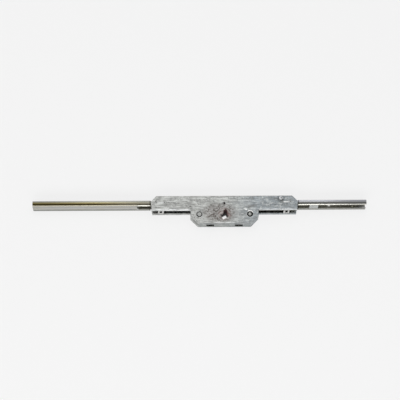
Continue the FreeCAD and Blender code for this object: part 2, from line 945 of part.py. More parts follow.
def make_rod_rivet():
    piece = new_piece("rod_rivet")
    radius = cell("rod_rivet_radius")
    depth = cell("rod_thickness")
    turn(piece, [(0, 0), (radius, 0), (radius, depth), (0, depth)])
    place(piece, rod_rivet_x, rod_back, coupling_height, **FACE_WAYS)
    return piece


# Drive rods: flat steel bars with a narrow neck and an eye riveted to the rack slide

def make_left_rod():
    piece = new_piece("drive_rod_left")
    far = rod_left_far
    shoulder = cell("left_shoulder_inset") - half_length
    neck = cell("neck_width") / 2
    eye = coupling_left
    outline = [
        (far, rod_low),
        (shoulder, rod_low),
        (shoulder + neck, coupling_height - neck),
        (eye, coupling_height - neck),
        (eye, coupling_height + neck),
        (shoulder + neck, coupling_height + neck),
        (shoulder, rod_high),
        (far, rod_high),
    ]
    shape_along(piece, "Pad", "Y", rod_back, rod_front, [outline])
    finish_rod(piece, eye, far + cell("rod_end_hole_inset"))
    height = cell("rail_pin_height")
    radius = cell("rail_pin_radius") + slide_gap
    start = rail_rivet_x - cell("travel_right")
    end = rail_screw_x + cell("travel_left")
    low, high = rod_back - BEYOND, rod_front + BEYOND
    slot = rectangle(start, height - radius, end, height + radius)
    shape_along(piece, "Pocket", "Y", low, high, [slot])
    for middle in (start, end):
        shape_along(piece, "Pocket", "Y", low, high, [], [(middle, height, radius)])
    return piece


def make_right_rod():
    piece = new_piece("drive_rod_right")
    far = rod_right_far
    shoulder = half_length - cell("right_shoulder_inset")
    neck = cell("neck_width") / 2
    eye = coupling_right
    outline = [
        (eye, coupling_height - neck),
        (shoulder - neck, coupling_height - neck),
        (shoulder, rod_low),
        (far, rod_low),
        (far, rod_high),
        (shoulder, rod_high),
        (shoulder - neck, coupling_height + neck),
        (eye, coupling_height + neck),
    ]
    shape_along(piece, "Pad", "Y", rod_back, rod_front, [outline])
    finish_rod(piece, eye, far - cell("rod_end_hole_inset"))
    rivet = (rod_rivet_x, coupling_height, cell("rod_rivet_radius") + pin_fit)
    shape_along(piece, "Pocket", "Y", rod_back - BEYOND, rod_front + BEYOND, [], [rivet])
    return piece


def finish_rod(piece, eye_x, hole_x):
    """Eye for the coupling rivet, and the hole that takes the next rod's hook."""
    shape_along(piece, "Pad", "Y", rod_back, rod_front, [], [(eye_x, coupling_height, cell("eye_radius"))])
    holes = [
        (eye_x, coupling_height, cell("coupling_rivet_radius") + pin_fit),
        (hole_x, rod_middle, cell("rod_end_hole_radius")),
    ]
    shape_along(piece, "Pocket", "Y", rod_back - BEYOND, rod_front + BEYOND, [], holes)


# Rack slide: a die casting with teeth over the follower and a block at each end for the rods

def make_rack_slide():
    piece = new_piece("rack_slide")
    bar = rectangle(rack_left, rack_root, rack_right, rack_front)
    shape_along(piece, "Pad", "Z", rack_low, rack_high, [bar])
    shoes = [
        rectangle(rack_left, rack_root, -cell("left_shoe_end"), rack_front),
        rectangle(cell("right_shoe_start"), rack_root, rack_right, rack_front),
    ]
    for shoe in shoes:
        shape_along(piece, "Pad", "Z", shoe_low, rack_low, [shoe])
    block = cell("rack_block_length")
    back = rod_front
    blocks = [
        rectangle(rack_left, back, rack_left + block, rack_front),
        rectangle(rack_right - block, back, rack_right, rack_front),
    ]
    for end_block in blocks:
        shape_along(piece, "Pad", "Z", shoe_low, thickness - shoe_low, [end_block])
    groove = cell("rack_groove_width")
    groove_depth = cell("rack_groove_depth")
    centre_line = (cell("main_row_low") + cell("main_row_high")) / 2
    line_start = rack_left + block / 2
    line_end = -cell("left_shoe_end") - groove
    for middle in (centre_line - groove, centre_line + groove):
        line = rectangle(line_start, middle - groove / 2, line_end, middle + groove / 2)
        shape_along(piece, "Pocket", "Y", rack_front - groove_depth, rack_front + BEYOND, [line])
    rivets = []
    for x in (coupling_left, coupling_right):
        rivets.append((x, coupling_height, cell("coupling_rivet_radius") + pin_fit))
    shape_along(piece, "Pocket", "Y", back - BEYOND, rack_front + BEYOND, [], rivets)
    add_rack_teeth(piece)
    return piece


RACK_TEETH = 8


def add_rack_teeth(piece):
    """Straight-sided teeth, one drawn and the rest repeated at the tooth pitch."""
    first = cell("rack_centre") - pitch * (RACK_TEETH - 1) / 2
    slope = math.tan(math.radians(SIZES["pressure_angle"]))
    half = pitch / 4 - cell("backlash") / 2
    tip = pitch_radius - addendum
    root = rack_root + BEYOND / 2
    tip_half = half - addendum * slope
    root_half = half + (dedendum + BEYOND / 2) * slope
    outline = [
        (first - tip_half, tip),
        (first + tip_half, tip),
        (first + root_half, root),
        (first - root_half, root),
    ]
    tooth = shape_along(piece, "Pad", "Z", rack_low, rack_high, [outline])
    row = piece.newObject("PartDesign::LinearPattern", "rack_teeth")
    row.Originals = [tooth]
    row.Direction = (tooth.Profile[0], ["H_Axis"])
    length = pitch * (RACK_TEETH - 1)
    row.Length = length.value
    row.setExpression("Length", length.formula)
    row.Occurrences = RACK_TEETH
    piece.Tip = row
    doc.recompute()


# Spindle follower: hub with the handle's square, and a toothed sector that drives the rack slide

FOLLOWER_TEETH = 7


def involute_half_angle(radius):
    """Half the angle that a tooth fills at a radius, in degrees, of the involute at the pressure angle."""
    pressure = math.radians(SIZES["pressure_angle"])
    base = pitch_radius.value * math.cos(pressure)
    at_pitch = 90.0 / SIZES["full_circle_teeth"]
    at_pitch -= math.degrees(SIZES["backlash"] / 2 / pitch_radius.value)
    here = math.acos(min(1.0, base / radius.value))
    roll = math.tan(pressure) - pressure - (math.tan(here) - here)
    return as_size(at_pitch + math.degrees(roll))


def follower_tooth():
    """Outline of the first tooth of the sector."""
    middle = 90.0 - tooth_angle * (FOLLOWER_TEETH - 1) / 2
    root = pitch_radius - dedendum - BEYOND / 2
    tip = pitch_radius + addendum
    radii = [root, pitch_radius - addendum, pitch_radius, (pitch_radius + tip) / 2, tip]
    right = [polar(radius, middle - involute_half_angle(radius)) for radius in radii]
    left = [polar(radius, middle + involute_half_angle(radius)) for radius in reversed(radii)]
    return right + left


def sector(piece, radius, low, high):
    """Slice of a disc, centred on the piece's +Y axis."""
    half = cell("sector_half_angle")
    slice_ = piece.newObject("PartDesign::AdditiveCylinder", f"{piece.Name}_sector")
    start = 90.0 - half
    slice_.Placement = FreeCAD.Placement(
        FreeCAD.Vector(0, 0, low.value),
        FreeCAD.Rotation(FreeCAD.Vector(0, 0, 1), start.value),
    )
    slice_.setExpression(".Placement.Base.z", low.formula)
    slice_.setExpression(".Placement.Rotation.Angle", start.formula)
    for name, size in (("Radius", radius), ("Height", high - low), ("Angle", 2 * half)):
        setattr(slice_, name, size.value)
        slice_.setExpression(name, size.formula)
    doc.recompute()


def make_follower():
    piece = new_piece("follower")
    low = wall + seat_gap
    high = plate_low - seat_gap
    gear_low = rack_low + cell("gear_side_step")
    gear_high = rack_high - cell("gear_side_step")
    shape_along(piece, "Pad", "Z", seat_gap, thickness - seat_gap, [], [(0, 0, trunnion_radius)])
    shape_along(piece, "Pad", "Z", low, high, [], [(0, 0, hub_radius)])
    sector(piece, hub_radius + cell("hub_flange_width"), low, gear_low)
    sector(piece, pitch_radius - dedendum, gear_low, gear_high)
    tooth = shape_along(piece, "Pad", "Z", gear_low, gear_high, [follower_tooth()])
    ring = piece.newObject("PartDesign::PolarPattern", "follower_teeth")
    ring.Originals = [tooth]
    ring.Axis = (tooth.Profile[0], ["N_Axis"])
    swept = tooth_angle * (FOLLOWER_TEETH - 1)
    ring.Angle = swept.value
    ring.setExpression("Angle", swept.formula)
    ring.Occurrences = FOLLOWER_TEETH
    piece.Tip = ring
    doc.recompute()
    reach = spindle_reach
    square = [(reach, 0), (0, reach), (-reach, 0), (0, -reach)]
    shape_along(piece, "Pocket", "Z", -BEYOND, thickness + BEYOND, [square])
    place(piece, axis=(0, 0, -1), angle=cell("rest_turn"))
    return piece


PIECES = [
    make_case_body(),
    make_case_cover(),
    make_post("handle_post_left", -post_x),
    make_post("handle_post_right", post_x),
    make_front_rivet(),
    make_face_screw(),
    make_back_clip("back_clip_left", cell("left_clip_inset") - half_length),
    make_back_clip("back_clip_right", half_length - cell("right_clip_inset")),
    make_left_rail(),
    make_right_rail(),
    make_rail_screw(),
    make_rail_rivet(),
    make_rod_guide(),
    make_rack_slide(),
    make_left_rod(),
    make_right_rod(),
    make_coupling_rivet("coupling_rivet_left", coupling_left),
    make_coupling_rivet("coupling_rivet_right", coupling_right),
    make_rod_rivet(),
    make_follower(),
]


# Every object is sound and every piece is a valid solid before any file is written

doc.recompute()
for thing in doc.Objects:
    if "Invalid" in thing.State or "Error" in thing.State:
        raise RuntimeError(f"{thing.Name} did not build: {thing.State}")
for piece in PIECES:
    if piece.Shape.isNull() or not piece.Shape.isValid() or not piece.Shape.Solids:
        raise RuntimeError(f"{piece.Label} is not a sound solid")

os.makedirs("parts", exist_ok=True)
for piece in PIECES:
    piece.Shape.exportStep(f"parts/{piece.Label}.step")
    box = piece.Shape.BoundBox
    print(
        f"{piece.Label}: {len(piece.Shape.Solids)} solid, {piece.Shape.Volume:.1f} mm3,"
        f" X {box.XMin:.2f} {box.XMax:.2f}, Y {box.YMin:.2f} {box.YMax:.2f},"
        f" Z {box.ZMin:.2f} {box.ZMax:.2f}"
    )
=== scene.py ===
import math

import bpy
from mathutils import Matrix, Vector


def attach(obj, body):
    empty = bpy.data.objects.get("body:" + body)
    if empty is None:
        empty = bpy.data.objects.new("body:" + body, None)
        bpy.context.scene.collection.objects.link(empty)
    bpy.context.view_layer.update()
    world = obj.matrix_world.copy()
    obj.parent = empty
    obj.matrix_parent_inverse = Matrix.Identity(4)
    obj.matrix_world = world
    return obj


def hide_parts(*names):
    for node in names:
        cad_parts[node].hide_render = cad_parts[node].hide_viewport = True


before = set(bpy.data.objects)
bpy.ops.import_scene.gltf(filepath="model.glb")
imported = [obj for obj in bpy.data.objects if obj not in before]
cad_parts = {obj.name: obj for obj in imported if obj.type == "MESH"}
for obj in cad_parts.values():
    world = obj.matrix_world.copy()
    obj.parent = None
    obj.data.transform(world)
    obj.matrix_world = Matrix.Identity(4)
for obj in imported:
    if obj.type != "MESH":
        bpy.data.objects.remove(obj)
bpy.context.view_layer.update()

bpy.ops.object.select_all(action="DESELECT")


# Gear case: two shells of zinc die casting, left bare, so the metal is dull and mottled, with a
# smoother face. Handling has polished its edges, and a highlight is painted along the back edges
# of the arms and the belly. Grease from the mechanism has stained it round the spindle. A shadow
# is painted round the front rivet, and shade on the left chamfer's seam, under the right arm's
# back edge, on the belly's back wall and inside its openings, where lighter greasy patches are
# painted light.

MM = 0.001
WELD = 0.001 * MM
FLAT_ANGLE = math.radians(0.5)
SHARP_ANGLE = math.radians(35)
CASE_ROUNDING = 0.12 * MM
HAND_WORN = 0.45 * MM
EDGE_SAMPLES = 6
CLOUD_DEPTH = 0.05 * MM
BLOTCH_DEPTH = 0.03 * MM
ANYWHERE = (-200, 200)

# The values of a noise between which one shade of a metal turns into the other, and the two
# roughnesses between which the casting varies.
MOTTLE = (0.35, 0.65)
CAST_ROUGHNESS = (0.42, 0.6)

CAST_GREY = (0.33, 0.335, 0.32)
CAST_PALE = (0.47, 0.475, 0.46)
CAST_BLOOM = (0.66, 0.68, 0.66)
CAST_DARK = (0.13, 0.13, 0.12)
CAST_SHADE = (0.20, 0.205, 0.20)
CAST_COOL = (0.27, 0.305, 0.33)
CAST_EDGE = (0.80, 0.82, 0.82)
WALL_SHADE_COOL = (0.19, 0.215, 0.22)
FACE_PLAIN = (0.43, 0.43, 0.40)
GREASE_FILM = (0.28, 0.265, 0.255)
GREASE_BROWN = (0.10, 0.085, 0.075)
RIVET_SHADOW = (0.05, 0.055, 0.055)
INSIDE_DARK = (0.006, 0.006, 0.005)
INSIDE_LIT_GREASE = (0.16, 0.17, 0.155)

# Noise in the metal: features per metre along each axis, detail, roughness, centre.
CAST_PATTERNS = {
    "clouds": ((160, 160, 160), 4.0, 0.6),
    "patches": ((300, 300, 300), 3.0, 0.6, (0.1, 0, 0)),
    "blotches": ((480, 520, 520), 2.0, 0.6),
    "specks": ((760, 900, 900), 1.0, 0.7),
    "strokes": ((150, 680, 680), 3.0, 0.6, (0, 0, 0.1)),
    "spots": ((780, 780, 780), 2.0, 0.6, (0, 0.1, 0)),
}

# The grease stain round the spindle: centre and radii in millimetres.
STAIN = ((-4.5, 1.3, 12), (16.5, 10, 12))

# Layers on the whole case, from below: a colour, and one or two patterns whose shares multiply.
# Each runs between two of its values, from the share at the first to the share at the second.
CAST_LAYERS = (
    (CAST_COOL, ("x", 0, 26 * MM, 0.0, 0.9)),
    (CAST_BLOOM, ("blotches", 0.48, 0.64, 0.0, 0.7), ("patches", 0.4, 0.58, 0.0, 1.0)),
    (CAST_DARK, ("specks", 0.48, 0.64, 0.0, 0.75), ("clouds", 0.36, 0.58, 0.0, 1.0)),
    (CAST_BLOOM, ("strokes", 0.5, 0.64, 0.0, 1.0), ("x", 0, 30 * MM, 0.6, 0.25)),
    (CAST_SHADE, ("strokes", 0.49, 0.36, 0.0, 0.6)),
    (GREASE_FILM, ("stain", 0.0, 0.45, 0.0, 1.0), ("patches", 0.3, 0.62, 0.25, 0.85)),
    (GREASE_BROWN, ("stain", 0.05, 0.4, 0.0, 1.0), ("spots", 0.48, 0.58, 0.0, 0.9)),
    (CAST_EDGE, ("edges", 0.98, 0.85, 0.0, 1.0), ("patches", 0.3, 0.6, 0.4, 1.0)),
)

# Places with a colour laid on them, among them painted highlight and shade: box and soft edge in
# millimetres, and how the strokes break the colour up: two of their values, and the share at each.
CAST_PLACES = (
    # the rubbed edges of the left arm, the right arm and the belly, with a highlight painted along
    # them
    (CAST_EDGE, ((-62.9, -29.2), (3.3, 4.7), (11.4, 12.3)), 0.3, (0.4, 0.6, 0.25, 0.7)),
    (CAST_EDGE, ((29.2, 62.9), (3.3, 4.5), (11.4, 12.3)), 0.3, (0.4, 0.6, 0.25, 0.7)),
    (CAST_EDGE, ((-10.0, 8.0), (-7.8, -7.45), (11.4, 12.3)), 0.3, (0.4, 0.6, 0.25, 0.7)),
    # painted shade under the right arm's back edge, above its opening
    (CAST_DARK, ((28.5, 62.9), (2.6, 3.42), (10.6, 12.3)), 0.2, (0.4, 0.6, 0.9, 0.9)),
    # the face
    (FACE_PLAIN, (ANYWHERE, (16.3, 17.5), ANYWHERE), 0.3, (0.4, 0.6, 0.8, 0.8)),
    # the belly's back wall, darker and cooler: painted shade
    (WALL_SHADE_COOL, ((-21.5, 21.5), (-8.0, -7.4), (0.0, 11.0)), 0.5, (0.35, 0.6, 0.6, 0.3)),
    # painted shade on the left chamfer's seam
    (CAST_DARK, ((-26.5, -22.5), (-7.9, -3.5), (6.6, 8.0)), 1.3, (0.35, 0.6, 0.95, 0.6)),
)

# Painted shade in the room inside the belly, its shoulders and the arms, and in the two slots in
# the belly's wall, and the values of the blotches between which it turns from dark shade to
# lighter greasy patches, which are painted light.
HOLLOWS = (
    ((-22.4, 22.4), (-7.1, 16.0), (0.6, 11.4)),
    ((-28.0, 28.0), (-1.5, 16.0), (0.6, 11.4)),
    ((-57.5, 57.5), (3.95, 16.0), (0.6, 11.4)),
    ((-15.5, -8.9), (-8.0, -6.8), (2.2, 7.1)),
    ((8.9, 15.5), (-8.0, -6.8), (2.2, 7.1)),
)
HOLLOW_LIT_GREASE = (0.42, 0.6)

# Single marks on the cover: centre and radii in millimetres. They fade outwards from their
# centre, and the specks break them up.
MARKS = (
    (CAST_BLOOM, (-54.6, 9.7, 12), (4.4, 1.0, 3)),
    (INSIDE_DARK, (-0.4, 9.7, 12), (1.75, 1.7, 3)),
    (CAST_DARK, (-29.3, 7.2, 12), (1.6, 1.1, 3)),
    (CAST_DARK, (-11.4, 8.1, 12), (1.4, 1.2, 3)),
    (CAST_SHADE, (21.0, 6.6, 12), (3.4, 2.4, 3)),
    (CAST_SHADE, (24.6, 7.2, 12), (2.4, 1.6, 3)),
    (CAST_BLOOM, (17.6, 4.8, 12), (1.9, 1.3, 3)),
    (CAST_EDGE, (18.4, 4.1, 12), (1.4, 0.9, 3)),
    # a shadow painted round the front rivet's head
    (RIVET_SHADOW, (48.4, 13.6, 12), (4.8, 4.4, 1.8)),
)
MARK_FADE = (0.1, 0.6, 0.0, 0.95)
MARK_BREAKS = (0.36, 0.56, 0.5, 1.0)


def metres(*lengths):
    return [length * MM for length in lengths]


def merged_copy(node, body):
    """A copy of a CAD node with its loose triangles joined, which stands for the node."""
    piece = bpy.data.objects.new(f"{node}_finished", bpy.data.objects[node].data.copy())
    bpy.context.collection.objects.link(piece)
    piece.select_set(True)
    bpy.context.view_layer.objects.active = piece
    bpy.ops.mesh.customdata_custom_splitnormals_clear()
    bpy.ops.object.mode_set(mode="EDIT")
    bpy.ops.mesh.select_all(action="SELECT")
    bpy.ops.mesh.remove_doubles(threshold=WELD)
    bpy.ops.mesh.dissolve_limited(angle_limit=FLAT_ANGLE)
    bpy.ops.object.mode_set(mode="OBJECT")
    piece.select_set(False)
    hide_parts(node)
    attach(piece, body)
    return piece


def round_off(piece, width):
    """Rounds the sharp edges of a piece and smooths its curved faces."""
    rounding = piece.modifiers.new("rounding", "BEVEL")
    rounding.width = width
    rounding.segments = 2
    rounding.limit_method = "ANGLE"
    rounding.angle_limit = SHARP_ANGLE
    piece.select_set(True)
    bpy.context.view_layer.objects.active = piece
    bpy.ops.object.modifier_apply(modifier="rounding")
    bpy.ops.object.shade_smooth_by_angle(angle=SHARP_ANGLE)
    piece.select_set(False)


class Finish:
    """A node material, with the few building steps that the finishes below are made of."""

    def __init__(self, name, metallic, roughness):
        self.material = bpy.data.materials.new(name)
        self.material.use_nodes = True
        self.tree = self.material.node_tree
        self.shader = self.tree.nodes["Principled BSDF"]
        self.shader.inputs["Metallic"].default_value = metallic
        self.shader.inputs["Roughness"].default_value = roughness
        self.coordinates = self.tree.nodes.new("ShaderNodeTexCoord").outputs["Object"]
        split = self.tree.nodes.new("ShaderNodeSeparateXYZ")
        self.link(self.coordinates, split.inputs["Vector"])
        self.along = split.outputs

    def link(self, output, target):
        self.tree.links.new(output, target)

    def mapped(self, scale, centre=(0, 0, 0)):
        """Object coordinates measured from a centre in metres, stretched by a scale per axis."""
        node = self.tree.nodes.new("ShaderNodeMapping")
        node.inputs["Scale"].default_value = scale
        node.inputs["Location"].default_value = [-c * s for c, s in zip(centre, scale)]
        self.link(self.coordinates, node.inputs["Vector"])
        return node.outputs["Vector"]

    def noise(self, scale, detail, rough=0.5, centre=(0, 0, 0)):
        node = self.tree.nodes.new("ShaderNodeTexNoise")
        node.inputs["Scale"].default_value = 1.0
        node.inputs["Detail"].default_value = detail
        node.inputs["Roughness"].default_value = rough
        self.link(self.mapped(scale, centre), node.inputs["Vector"])
        return node.outputs["Fac"]

    def ball(self, centre, radii):
        """1 at a centre, falling to 0 on an ellipsoid round it, all in millimetres."""
        node = self.tree.nodes.new("ShaderNodeTexGradient")
        node.gradient_type = "SPHERICAL"
        scale = [1 / (radius * MM) for radius in radii]
        self.link(self.mapped(scale, metres(*centre)), node.inputs["Vector"])
        return node.outputs["Fac"]

    def band(self, value, low, high, start=0.0, end=1.0):
        """A share that runs from start to end while a value runs from low to high."""
        node = self.tree.nodes.new("ShaderNodeMapRange")
        limits = {"From Min": low, "From Max": high, "To Min": start, "To Max": end}
        for name, number in limits.items():
            node.inputs[name].default_value = number
        self.link(value, node.inputs["Value"])
        return node.outputs["Result"]

    def reckon(self, operation, first, second=None):
        """A Math node, each of whose values is a number or another node's output."""
        node = self.tree.nodes.new("ShaderNodeMath")
        node.operation = operation
        for socket, value in zip(node.inputs, (first, second)):
            if isinstance(value, (int, float)):
                socket.default_value = value
            elif value is not None:
                self.link(value, socket)
        return node.outputs["Value"]

    def times(self, first, *others):
        for other in others:
            first = self.reckon("MULTIPLY", first, other)
        return first

    def within(self, axis, low, high, soft=0.1):
        """1 between two places on an axis, falling to 0 over a soft edge, in millimetres."""
        middle, half = (low + high) / 2 * MM, (high - low) / 2 * MM
        place = self.along["XYZ".index(axis)]
        away = self.reckon("ABSOLUTE", self.reckon("SUBTRACT", place, middle))
        return self.band(away, half, half + soft * MM, 1.0, 0.0)

    def room(self, limits, soft=0.1):
        """1 inside a box of (low, high) in millimetres per axis, falling to 0 over a soft edge."""
        return self.times(*[self.within(axis, *pair, soft) for axis, pair in zip("XYZ", limits)])

    def edges(self, width):
        """The cosine by which rounding by a width in metres would turn the surface: 1 away from
        edges and less on them."""
        rounded = self.tree.nodes.new("ShaderNodeBevel")
        rounded.samples = EDGE_SAMPLES
        rounded.inputs["Radius"].default_value = width
        plain = self.tree.nodes.new("ShaderNodeNewGeometry")
        node = self.tree.nodes.new("ShaderNodeVectorMath")
        node.operation = "DOT_PRODUCT"
        self.link(rounded.outputs["Normal"], node.inputs[0])
        self.link(plain.outputs["Normal"], node.inputs[1])
        return node.outputs["Value"]

    def mix(self, share, first, second):
        """Blends two colours, each a colour or another node's output, by a share."""
        node = self.tree.nodes.new("ShaderNodeMix")
        node.data_type = "RGBA"
        self.link(share, node.inputs["Factor"])
        for socket, colour in ((node.inputs[6], first), (node.inputs[7], second)):
            if isinstance(colour, tuple):
                socket.default_value = (*colour, 1.0)
            else:
                self.link(colour, socket)
        return node.outputs[2]

    def colour(self, output):
        self.link(output, self.shader.inputs["Base Color"])

    def shades(self, pattern, dull, clear, values=MOTTLE):
        """The bare colour, from dull to clear while a pattern runs between two values."""
        self.colour(self.mix(self.band(pattern, *values), dull, clear))

    def lay(self, colour, *shares):
        """Lays a colour over what is there so far, by the product of its shares."""
        under = self.shader.inputs["Base Color"].links[0].from_socket
        self.colour(self.mix(self.times(*shares), under, colour))

    def rough(self, output):
        self.link(output, self.shader.inputs["Roughness"])

    def bump(self, height, depth):
        """Raises the surface by a height map whose full range is a depth in metres."""
        node = self.tree.nodes.new("ShaderNodeBump")
        node.inputs["Strength"].default_value = 1.0
        node.inputs["Distance"].default_value = depth
        self.link(height, node.inputs["Height"])
        normal = self.shader.inputs["Normal"]
        if normal.is_linked:
            self.link(normal.links[0].from_socket, node.inputs["Normal"])
        self.link(node.outputs["Normal"], normal)

    def put_on(self, *names):
        for name in names:
            thing = bpy.data.objects[name]
            thing.data.materials.clear()
            thing.data.materials.append(self.material)


zinc = Finish("bare_die_casting", metallic=0.5, roughness=0.5)
patterns = {name: zinc.noise(*numbers) for name, numbers in CAST_PATTERNS.items()}
patterns["x"] = zinc.along["X"]
patterns["stain"] = zinc.ball(*STAIN)
patterns["edges"] = zinc.edges(HAND_WORN)
zinc.shades(patterns["clouds"], CAST_GREY, CAST_PALE)
for colour, *parts in CAST_LAYERS:
    zinc.lay(colour, *[zinc.band(patterns[name], *numbers) for name, *numbers in parts])
for colour, box, soft, breaks in CAST_PLACES:
    zinc.lay(colour, zinc.room(box, soft), zinc.band(patterns["strokes"], *breaks))
# painted shade inside the case, broken by lighter greasy patches that are painted light
inside = zinc.mix(zinc.band(patterns["blotches"], *HOLLOW_LIT_GREASE), INSIDE_DARK, INSIDE_LIT_GREASE)
for hollow in HOLLOWS:
    zinc.lay(inside, zinc.room(hollow))
broken = zinc.band(patterns["specks"], *MARK_BREAKS)
for colour, centre, radii in MARKS:
    zinc.lay(colour, zinc.band(zinc.ball(centre, radii), *MARK_FADE), broken)
zinc.rough(zinc.band(patterns["patches"], *MOTTLE, *CAST_ROUGHNESS))
zinc.bump(patterns["clouds"], CLOUD_DEPTH)
zinc.bump(patterns["blotches"], BLOTCH_DEPTH)
for shell in ("case_body", "case_cover"):
    round_off(merged_copy(shell, "case"), CASE_ROUNDING)
    zinc.put_on(f"{shell}_finished")


# Follower and rack slide: zinc die castings that run in the case, dark with grease. The follower's
# upper trunnion and its square show through the cover's bore. Light and shade are painted on the
# square's walls: one is painted light as if lit and worn bare, one near black as shade and grease,
# and one light as if lit, with a film of rust.

GREASE_THIN = (0.33, 0.315, 0.30)
GREASE_THICK = (0.15, 0.125, 0.115)
WALL_LIT_BARE = (0.86, 0.80, 0.78)
WALL_SHADE_GREASE = (0.10, 0.05, 0.052)
WALL_LIT_RUST = (0.58, 0.40, 0.38)
SLIDE_FACE = (0.55, 0.53, 0.45)
MECHANISM_ROUNDING = 0.08 * MM
MECHANISM_GRAIN = ((420, 420, 420), 3.0)
MECHANISM_MOTTLE = (0.4, 0.62)
MECHANISM_ROUGHNESS = (0.4, 0.65, 0.3, 0.5)

# The walls of the square, with their painted light and shade, by their place on the X axis, in
# millimetres, with a soft edge.
SQUARE_WALLS = (
    (WALL_LIT_BARE, -9.0, -0.9, 0.8),
    (WALL_SHADE_GREASE, -0.6, 2.2, 0.8),
    (WALL_LIT_RUST, 2.4, 9.0, 0.5),
)
TRUNNION_TOP = (11.5, 12.5, 0.3)
SLIDE_FRONT = (15.1, 15.4)

mechanism = Finish("greased_die_casting", metallic=0.5, roughness=0.4)
smear = mechanism.noise(*MECHANISM_GRAIN)
greased = mechanism.mix(mechanism.band(smear, *MECHANISM_MOTTLE), GREASE_THICK, GREASE_THIN)
mechanism.colour(greased)
for colour, *place in SQUARE_WALLS:
    mechanism.lay(colour, mechanism.within("X", *place))
mechanism.lay(greased, mechanism.within("Z", *TRUNNION_TOP))
mechanism.lay(SLIDE_FACE, mechanism.within("Y", *SLIDE_FRONT))
mechanism.rough(mechanism.band(smear, *MECHANISM_ROUGHNESS))
for node, body in (("rack_slide", "drive"), ("follower", "follower")):
    round_off(merged_copy(node, body), MECHANISM_ROUNDING)
    mechanism.put_on(f"{node}_finished")


# Guide rails: steel strip roll-formed into channels, zinc plated and drawn lengthways. The groove
# in the side that shows holds old grease. Where a rail is open, its crest is rubbed on the right,
# with a painted highlight, and dirty on the left, and the strip's cut edge is rolled over and
# polished, its near-white colour a painted highlight. A shadow line is painted where each rail
# enters the case, and shade on the lower lip.

RAIL_DULL = (0.36, 0.355, 0.335)
RAIL_CLEAR = (0.50, 0.50, 0.475)
RAIL_CLOSURE = (0.48, 0.455, 0.38)
RAIL_BEND = (0.37, 0.365, 0.345)
RAIL_LIP_SHADE = (0.25, 0.252, 0.23)
RAIL_WORN_HIGHLIGHT = (0.72, 0.72, 0.69)
FRONT_PLAIN = (0.31, 0.31, 0.285)
FRONT_COOL = (0.36, 0.365, 0.40)
TONGUE_GREY = (0.56, 0.57, 0.56)
WARM_FILM = (0.37, 0.305, 0.12)
COOL_FILM = (0.24, 0.245, 0.245)
OLD_GREASE = (0.028, 0.018, 0.0)
THIN_GREASE = (0.06, 0.06, 0.05)
RUBBED_HIGHLIGHT_DULL = (0.86, 0.84, 0.74)
RUBBED_HIGHLIGHT_CLEAR = (0.98, 0.97, 0.90)

# What differs between the rails: colours of the front, the film and the groove's line, where film
# and line thin out, the stretch of crest at the opening and its colour, grease on the left and a
# painted highlight on the right, and the rolled edge's box.
RAILS = {
    "left": {
        "front": FRONT_PLAIN, "film": WARM_FILM, "line": OLD_GREASE,
        "thins": (-110 * MM, -55 * MM), "crest": (-74.4, -60), "crest_grease_and_highlight": OLD_GREASE,
        "rolled_edge": ((-74.2, -63.0), (7.72, 8.62), (10.9, 11.38)),
    },
    "right": {
        "front": FRONT_COOL, "film": COOL_FILM, "line": THIN_GREASE,
        "thins": (90 * MM, 200 * MM), "crest": (60, 122), "crest_grease_and_highlight": RAIL_WORN_HIGHLIGHT,
        "rolled_edge": ((63.0, 121.2), (8.1, 8.6), (10.95, 11.38)),
    },
}

# Places on the rails in millimetres, each with its soft edge last.
SLANTED_FRONT = (10.5, 12.7, 0.3)
WEB = (12.4, 12.9)
LOWER_LIP = (0, 3.9)
CLOSURE = ((ANYWHERE, (7.3, 8.5), (9.8, 11.4)), 0.3)
GROOVE_SLOPE = ((ANYWHERE, (9.3, 10.6), (10.9, 11.8)), 1.2)
GROOVE_LINE = ((ANYWHERE, (8.98, 9.85), (10.9, 11.8)), 0.35)
BEND = ((ANYWHERE, (7.3, 7.9), (9.3, 11.0)), 0.3)
CREST_ACROSS = ((8.3, 9.0), (10.9, 11.8))
CASE_JOINT_SHADOW = (-63.5, 63.5, 0.5)
TONGUES = (-62.6, 62.6)

# Noise as features per metre and detail, and shares as in the casting's layers.
DRAWN_GRAIN = ((4, 900, 900), 3.0)
SMEAR_GRAIN = ((60, 400, 400), 3.0)
RUB_GRAIN = ((30, 700, 700), 3.0)
WIDE = (0.3, 0.7)
SMEARED = (0.45, 0.7, 0.0, 0.4)
FILM_SHARES = (1.0, 0.1)
LINE_SHARES = (1.0, 0.55)
FAR_GREASE = (-150 * MM, -85 * MM, 0.45, 0.0)
JOINT_SHADOW_SHARE = 0.6
RAIL_ROUGHNESS = (0.26, 0.4)
RUBBED_ROUGHNESS = (0.25, 0.38)
DRAWN_DEPTH = 0.01 * MM
RAIL_ROUNDING = 0.12 * MM
ROLLED_ROUNDING = 0.06 * MM
ROLLED_SIDES = 20


def settle(piece):
    """Moves a piece's place, turn and size into its mesh."""
    piece.select_set(True)
    bpy.context.view_layer.objects.active = piece
    bpy.ops.object.transform_apply(location=True, rotation=True, scale=True)
    piece.select_set(False)


def rolled_edge(name, along, across, height):
    """The strip's cut edge, rolled over along an opening: a bar 1 mm thick, pressed oval."""
    bpy.ops.object.select_all(action="DESELECT")
    bpy.ops.mesh.primitive_cylinder_add(
        vertices=ROLLED_SIDES, radius=MM / 2, depth=(along[1] - along[0]) * MM,
        rotation=(0, math.pi / 2, 0),
    )
    bar = bpy.context.object
    bar.name = name
    settle(bar)
    bar.scale = (1, across[1] - across[0], height[1] - height[0])
    settle(bar)
    bar.location = [sum(pair) / 2 * MM for pair in (along, across, height)]
    settle(bar)
    round_off(bar, ROLLED_ROUNDING)
    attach(bar, "case")


